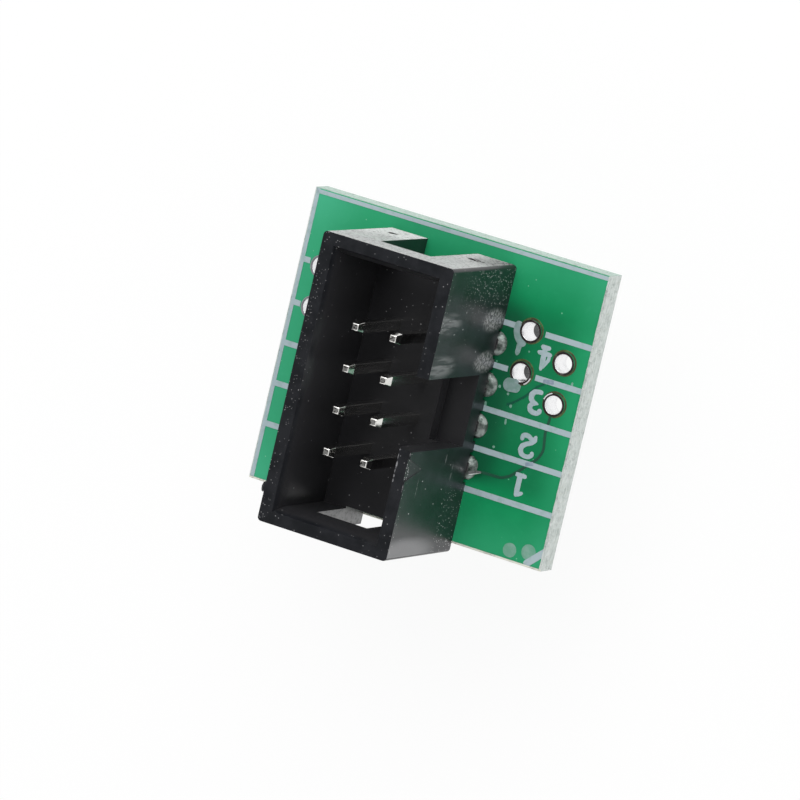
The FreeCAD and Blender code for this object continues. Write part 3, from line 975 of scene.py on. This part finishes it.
# Places are in millimetres in the CAD frame
printed = {
    "lineEnds": ((4.975, 4.905), (2.29, 2.26), (-0.24, -0.40), (-2.765, -2.835), (-5.30, -5.37)),
    "lineWidth": 0.35,
    "height": 0.03,
    "pastLacquer": 0.2,
    "underWall": 0.3,
    "holeLeft": 4.98,
    "holeRight": 6.84,
    "leftHoleStart": -9.30,
    "leftHoleEnd": -7.74,
    "bandWidth": 0.25,
    "bandInset": 0.205,
    "bandGap": 0.02,
    "borderWidth": 0.24,
    "diagonal": [(8.93, -8.70), (10.30, -7.34)],
    "diagonalWidth": 0.42,
    "diagonalHeight": 0.034,
    "digitWidth": 0.29,
}


def trimToMask(piece):
    # Ink that runs off the lacquer is cut along its four edges
    work = bmesh.new()
    work.from_mesh(piece.data)
    cuts = ((maskLow, (-1, 0, 0)), (maskHigh, (1, 0, 0)), (maskLow, (0, -1, 0)), (maskHigh, (0, 1, 0)))
    for corner, direction in cuts:
        parts = work.verts[:] + work.edges[:] + work.faces[:]
        bmesh.ops.bisect_plane(work, geom=parts, dist=1e-9, plane_co=corner, plane_no=direction,
                               clear_outer=True)
        rim = [edge for edge in work.edges if edge.is_boundary]
        bmesh.ops.holes_fill(work, edges=rim)
    bmesh.ops.recalc_face_normals(work, faces=work.faces)
    work.to_mesh(piece.data)
    work.free()
    piece.data.set_sharp_from_angle(angle=math.radians(smoothTurn))


def printedLines():
    rightEdge = maskHigh.x / mm + printed["pastLacquer"]
    leftEdge = maskLow.x / mm - printed["pastLacquer"]
    wallRight = shroudHigh.x / mm - printed["underWall"]
    wallLeft = shroudLow.x / mm + printed["underWall"]
    paths = []
    for index, (leftY, rightY) in enumerate(printed["lineEnds"]):
        if index < 2:
            paths.append([(wallRight, rightY), (printed["holeLeft"], rightY)])
            paths.append([(printed["holeRight"], rightY), (rightEdge, rightY)])
            paths.append([(leftEdge, leftY), (printed["leftHoleStart"], leftY)])
            paths.append([(printed["leftHoleEnd"], leftY), (wallLeft, leftY)])
        else:
            paths.append([(wallRight, rightY), (rightEdge, rightY)])
            paths.append([(leftEdge, leftY), (wallLeft, leftY)])
    return paths


def printedBand():
    y = boardHigh.y / mm - printed["bandInset"]
    gap = printed["bandGap"]
    return [[(maskLow.x / mm + gap, y), (maskHigh.x / mm - gap, y)]]


def printedBorder():
    x = maskLow.x / mm + printed["borderWidth"] / 2
    past = printed["pastLacquer"]
    return [[(x, maskLow.y / mm - past), (x, maskHigh.y / mm + past)]]


# The digits read with the board turned half round. A third number swells or narrows the stroke.
digitStrokes = {
    "4": [[(7.04, 4.15, 1.15), (7.05, 3.40, 1.15), (7.05, 3.05, 0.95), (7.03, 2.74, 0.55)],
          [(6.74, 4.16, 0.95), (7.40, 4.16, 0.95)],
          [(6.58, 3.79, 0.75), (6.90, 3.80, 1.0), (7.35, 3.80, 1.0), (7.56, 3.78, 0.8)],
          [(7.08, 2.90, 0.7), (7.40, 3.46, 0.75), (7.42, 3.76, 0.7)]],
    "3": [[(7.58, 1.50, 0.95), (7.30, 1.51, 0.95), (7.02, 1.44, 1.05), (6.88, 1.22, 1.2), (6.90, 0.98, 1.15),
           (7.06, 0.82, 1.0), (7.44, 0.77, 0.45)],
          [(7.30, 0.76, 0.6), (7.02, 0.72, 0.95), (6.93, 0.53, 1.1), (6.98, 0.33, 1.1), (7.20, 0.22, 1.05),
           (7.46, 0.23, 1.0), (7.61, 0.36, 1.0), (7.60, 0.56, 0.9)]],
    "2": [[(6.92, -1.58, 0.8), (6.94, -1.26, 0.95), (7.12, -1.19, 1.0), (7.34, -1.22, 1.0),
           (7.54, -1.36, 0.95), (7.72, -1.32, 0.85), (7.82, -1.06, 0.6)],
          [(7.78, -1.12, 0.7), (7.78, -1.38, 0.9), (7.60, -1.55, 0.95), (7.28, -1.70, 0.95),
           (7.04, -1.88, 1.1), (6.98, -2.12, 1.1), (7.10, -2.36, 1.05), (7.34, -2.44, 0.9),
           (7.60, -2.41, 0.95), (7.78, -2.26, 0.95), (7.74, -2.04, 0.8)]],
    "1": [[(7.37, -3.60, 1.15), (7.37, -4.50, 1.15), (7.36, -4.93, 0.8)],
          [(7.02, -3.60, 0.9), (7.80, -3.61, 0.9)],
          [(7.36, -4.80, 0.9), (7.56, -4.70, 0.95), (7.80, -4.58, 0.6)]],
}


def arcPath(middle, radius, start, end, steps=8):
    path = []
    for step in range(steps + 1):
        turn = math.radians(start + (end - start) * step / steps)
        path.append((middle[0] + radius * math.cos(turn), middle[1] + radius * math.sin(turn)))
    return path


def inkPiece(name, paths, width, height=printed["height"], finish="screen_ink", **shape):
    return strokePiece(name, paths, "screen_ink", finish, width, height, **shape)


trimToMask(inkPiece("printedLines", printedLines(), printed["lineWidth"], wobble=0.05))
inkPiece("printedBand", printedBand(), printed["bandWidth"], wobble=0.05)
trimToMask(inkPiece("printedBorder", printedBorder(), printed["borderWidth"], wobble=0.05))
trimToMask(inkPiece("printedCorner", [printed["diagonal"]], printed["diagonalWidth"],
                    printed["diagonalHeight"], wobble=0.04, rounding=0.8))
inkPiece("printedDigits", [path for paths in digitStrokes.values() for path in paths], printed["digitWidth"],
         wobble=0.04, rounding=0.8)

# Blots and specks of ink that the screen left beside the spare holes and the lines
blots = {
    "width": 0.5,
    "height": 0.036,
    "lean": 0.03,
    "paths": [arcPath((5.85, 4.80), 0.84, 150, 262),
              [(4.90, 1.46, 1.3), (5.34, 1.40, 1.7), (5.80, 1.44, 1.6), (6.06, 1.52, 1.0)],
              [(5.36, 4.02, 0.75), (5.34, 3.60, 0.70), (5.31, 3.20, 0.60)]],
    "spots": [(4.08, 0.02, 0.30, 0.13), (5.61, -0.62, 0.36, 0.12), (5.70, 0.30, 0.24, 0.15),
              (6.05, 3.70, 0.14, 0.12), (9.24, 2.66, 0.26, 0.13), (5.24, -2.38, 0.16, 0.16),
              (4.71, 1.22, 0.20, 0.14), (5.35, 0.92, 0.16, 0.14)],
}
inkPiece("printedBlots", blots["paths"], blots["width"], blots["height"], "faint_ink", wobble=0.22,
         grain=1600.0, rounding=1.0)
for index, (x, y, length, width) in enumerate(blots["spots"]):
    inkPiece("printedSpot%d" % (index + 1), [[(x, y), (x + blots["lean"], y - length)]], width,
             finish="ink_veil", wobble=0.3, rounding=1.0)

# Ink smeared where the track lies under a line
smears = {"width": 0.24, "height": 0.06,
          "paths": [[(7.46, -2.90), (8.06, -2.70)], [(7.36, 2.20), (8.12, 2.30)]]}
inkPiece("printedSmears", smears["paths"], smears["width"], smears["height"], "ink_smear", wobble=0.3,
         grain=1600.0, rounding=1.0)

# Crumbs of glass fibre along the two sawn edges beside the lacquer
fringe = {"width": 0.085, "height": 0.07, "pastRight": 0.028, "pastLow": 0.045, "rightEnds": (-0.02, -0.03),
          "lowEnds": (0.05, -0.06)}
fringeX = maskHigh.x / mm + fringe["pastRight"]
fringeY = maskLow.y / mm - fringe["pastLow"]
fringePaths = [[(fringeX, corner.y / mm + shift) for corner, shift
                in zip((maskLow, maskHigh), fringe["rightEnds"])],
               [(maskLow.x / mm + fringe["lowEnds"][0], fringeY), (fringeX + fringe["lowEnds"][1], fringeY)]]
strokePiece("sawnFringe", fringePaths, "laminate", "laminate", fringe["width"], fringe["height"], wobble=0.45,
            grain=2400.0)

# Painted highlights: bright crescents where the light catches two of the lips
glints = {"width": 0.07, "height": 0.07,
          "arcs": [((8.39, 1.00), 0.70, 108, 168), ((5.85, 2.27), 0.71, -62, -12)]}
strokePiece("lipGlints", [arcPath(*arc) for arc in glints["arcs"]], "hole_plating", "glint", glints["width"],
            glints["height"], corner=0.02, wobble=0.1, rounding=1.0)

# Two round veils of thin ink in the corner
veils = {"radius": 0.44, "height": 0.026, "spots": [(7.81, -8.10, 0.44), (9.04, -7.88, 0.47)]}
veilPaths = [[(x + side * radius, y, radius / veils["radius"]) for side in (-1, 1)]
             for x, y, radius in veils["spots"]]
inkPiece("printedVeils", veilPaths, 2 * veils["radius"], veils["height"], "ink_veil", wobble=0.06,
         rounding=1.0)

coveredTracks = {
    "width": 0.17,
    "faintWidth": 0.136,
    "height": 0.036,
    "corner": 0.8,
    "front": [[(4.90, -4.14), (6.21, -4.11), (6.75, -3.83), (7.51, -3.08), (8.22, -2.33), (8.45, -1.82),
               (8.30, -0.77), (8.38, 0.36)]],
    "faint": [[(5.45, 0.20), (5.80, 0.42), (6.47, 0.99), (7.08, 1.75), (7.50, 2.05)]],
}
strokePiece("coveredTracks", coveredTracks["front"], "solder_mask", "track", coveredTracks["width"],
            coveredTracks["height"], coveredTracks["corner"], wobble=0.12)
strokePiece("faintTracks", coveredTracks["faint"], "solder_mask", "faint_track", coveredTracks["faintWidth"],
            coveredTracks["height"], coveredTracks["corner"], wobble=0.2)
print("ink printed")
